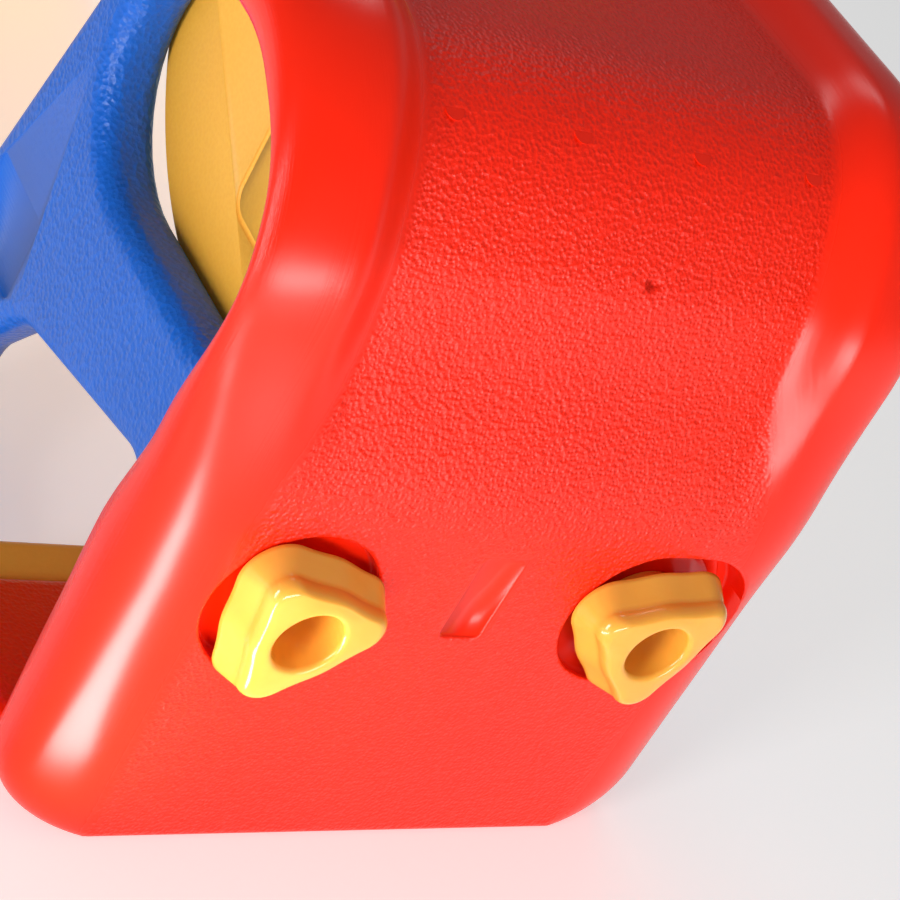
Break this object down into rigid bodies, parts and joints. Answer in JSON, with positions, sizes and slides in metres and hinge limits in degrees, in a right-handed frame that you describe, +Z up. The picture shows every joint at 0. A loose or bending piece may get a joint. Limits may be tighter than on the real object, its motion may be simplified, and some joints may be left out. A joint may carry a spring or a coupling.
{
  "type": "climbing wall with slide",
  "caption": "Free-standing toddler climbing wall that curls back into a deck, with two three-cornered bolt-on holds, hollow side frames and a slide.",
  "frame": {"origin": "on the floor, in the middle of the plan", "axes": "+X across the wall to the right seen from the front, -Y the way the wall faces, +Z up"},
  "size_m": [0.53, 1.3152, 0.638],
  "materials": {
    "red_shell": "grained",
    "yellow_grip": "glossy",
    "blue_shell": "grained",
    "yellow_shell": "satin",
    "steel_tube": "zinc plated",
    "zinc_steel": "zinc plated"
  },
  "bodies": {
    "root": {"wall_panel": "red_shell", "hold_left": "yellow_grip", "hold_right": "yellow_grip", "hold_bolts": "zinc_steel", "hold_washers": "zinc_steel", "hold_nuts": "zinc_steel", "side_frame_left": "blue_shell", "side_frame_right": "blue_shell", "foot_beam": "red_shell", "rear_beam": "yellow_shell", "slide": "yellow_shell", "arm_tube": "steel_tube", "deck_tube": "steel_tube", "wall_bolts": "zinc_steel", "wall_bolt_washers": "zinc_steel", "wall_barrel_nuts": "zinc_steel", "deck_bolts": "zinc_steel", "deck_bolt_washers": "zinc_steel", "deck_barrel_nuts": "zinc_steel", "slide_bolts": "zinc_steel", "slide_bolt_washers": "zinc_steel", "slide_nuts": "zinc_steel", "beam_bolts": "zinc_steel"}
  },
  "joints": []
}
